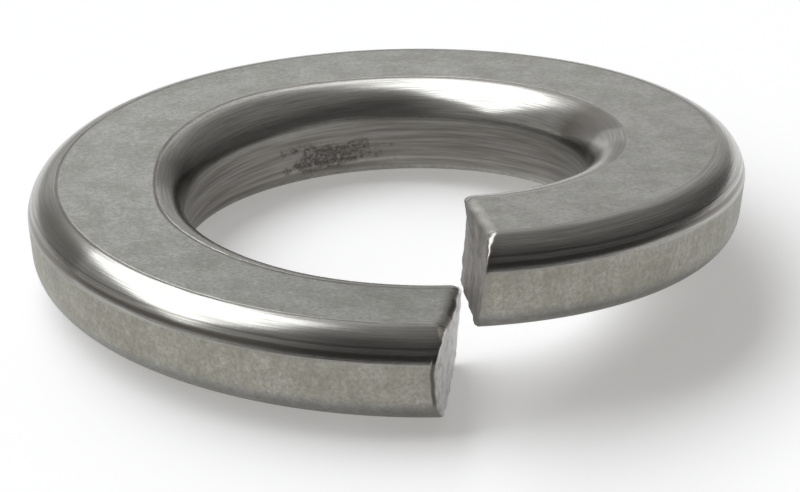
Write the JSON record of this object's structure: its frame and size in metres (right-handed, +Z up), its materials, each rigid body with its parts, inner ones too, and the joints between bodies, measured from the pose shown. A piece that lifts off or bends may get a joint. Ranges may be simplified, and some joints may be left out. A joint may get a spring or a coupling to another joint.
{
  "type": "spring lock washer",
  "caption": "Split spring lock washer: one left-hand turn of rounded rectangular steel wire, its two ends offset at a narrow skewed gap.",
  "frame": {"origin": "where the bore's axis meets the flat surface that the washer lies on", "axes": "+Z up from that surface, 5.3 degrees off the bore's axis; -Y towards the gap, where the low end is on the -X side and the high end on the +X side"},
  "size_m": [0.0145, 0.0144, 0.0039],
  "materials": {
    "spring_steel": "drawn wire, dull matte flats and sides with bright rounded edges"
  },
  "bodies": {
    "root": {"washer": "spring_steel"}
  },
  "joints": []
}
